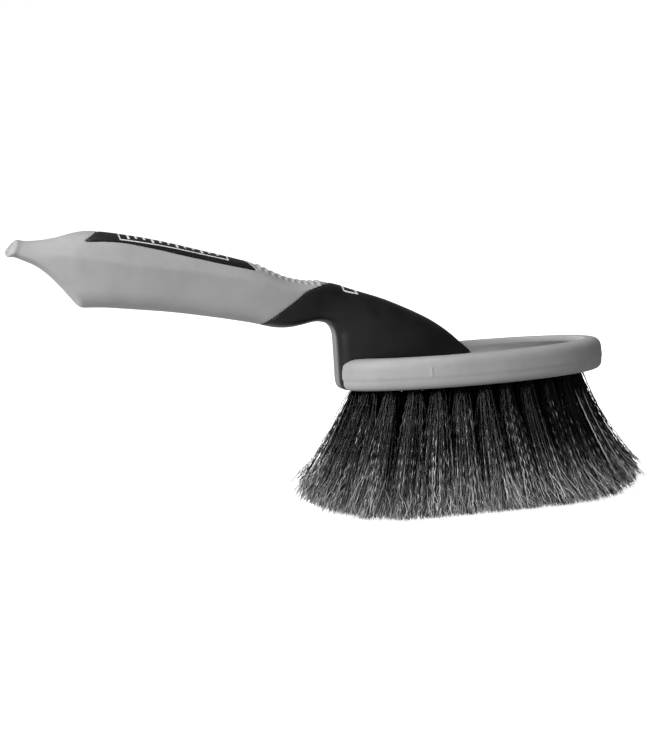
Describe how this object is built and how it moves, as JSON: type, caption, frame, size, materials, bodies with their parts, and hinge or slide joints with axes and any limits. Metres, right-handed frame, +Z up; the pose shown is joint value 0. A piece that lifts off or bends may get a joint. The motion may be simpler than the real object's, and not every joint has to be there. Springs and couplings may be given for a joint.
{
  "type": "wheel brush",
  "caption": "Short-handled wheel brush: a soft-grip moulded handle and fin above an oval head with a soft bumper rim and flared fibre tufts.",
  "frame": {"origin": "middle of the flat tip of the central tuft, under the middle of the oval head, where the brush stands on its bristles", "axes": "+X from the handle towards the nose of the head, +Y to the left, +Z up from the bristle tips to the head"},
  "size_m": [0.2821, 0.0938, 0.1366],
  "materials": {
    "core_plastic": "satin black moulded polypropylene",
    "grip_soft": "fine-textured grey soft overmould",
    "bumper_soft": "satin grey soft overmould",
    "bristle_fibre": "black extruded fibre with split, lighter tips",
    "anchor_wire": "plain flat steel anchor wire",
    "print_ink": "pad-printed light grey ink"
  },
  "bodies": {
    "root": {"handle_core": "core_plastic", "grip_sleeve": "grip_soft", "head_bumper": "bumper_soft", "tuft_outer_01": "bristle_fibre", "tuft_outer_02": "bristle_fibre", "tuft_outer_03": "bristle_fibre", "tuft_outer_04": "bristle_fibre", "tuft_outer_05": "bristle_fibre", "tuft_outer_06": "bristle_fibre", "tuft_outer_07": "bristle_fibre", "tuft_outer_08": "bristle_fibre", "tuft_outer_09": "bristle_fibre", "tuft_outer_10": "bristle_fibre", "tuft_outer_11": "bristle_fibre", "tuft_outer_12": "bristle_fibre", "tuft_outer_13": "bristle_fibre", "tuft_outer_14": "bristle_fibre", "tuft_outer_15": "bristle_fibre", "tuft_outer_16": "bristle_fibre", "tuft_outer_17": "bristle_fibre", "tuft_outer_18": "bristle_fibre", "tuft_outer_19": "bristle_fibre", "tuft_outer_20": "bristle_fibre", "tuft_outer_21": "bristle_fibre", "tuft_outer_22": "bristle_fibre", "tuft_outer_23": "bristle_fibre", "tuft_outer_24": "bristle_fibre", "tuft_middle_01": "bristle_fibre", "tuft_middle_02": "bristle_fibre", "tuft_middle_03": "bristle_fibre", "tuft_middle_04": "bristle_fibre", "tuft_middle_05": "bristle_fibre", "tuft_middle_06": "bristle_fibre", "tuft_middle_07": "bristle_fibre", "tuft_middle_08": "bristle_fibre", "tuft_middle_09": "bristle_fibre", "tuft_middle_10": "bristle_fibre", "tuft_middle_11": "bristle_fibre", "tuft_middle_12": "bristle_fibre", "tuft_middle_13": "bristle_fibre", "tuft_middle_14": "bristle_fibre", "tuft_middle_15": "bristle_fibre", "tuft_middle_16": "bristle_fibre", "tuft_middle_17": "bristle_fibre", "tuft_middle_18": "bristle_fibre", "tuft_right_1": "bristle_fibre", "tuft_right_2": "bristle_fibre", "tuft_right_3": "bristle_fibre", "tuft_right_4": "bristle_fibre", "tuft_centre_1": "bristle_fibre", "tuft_centre_2": "bristle_fibre", "tuft_centre_3": "bristle_fibre", "tuft_centre_4": "bristle_fibre", "tuft_centre_5": "bristle_fibre", "tuft_centre_6": "bristle_fibre", "tuft_centre_7": "bristle_fibre", "tuft_left_1": "bristle_fibre", "tuft_left_2": "bristle_fibre", "tuft_left_3": "bristle_fibre", "tuft_left_4": "bristle_fibre"}
  },
  "joints": []
}
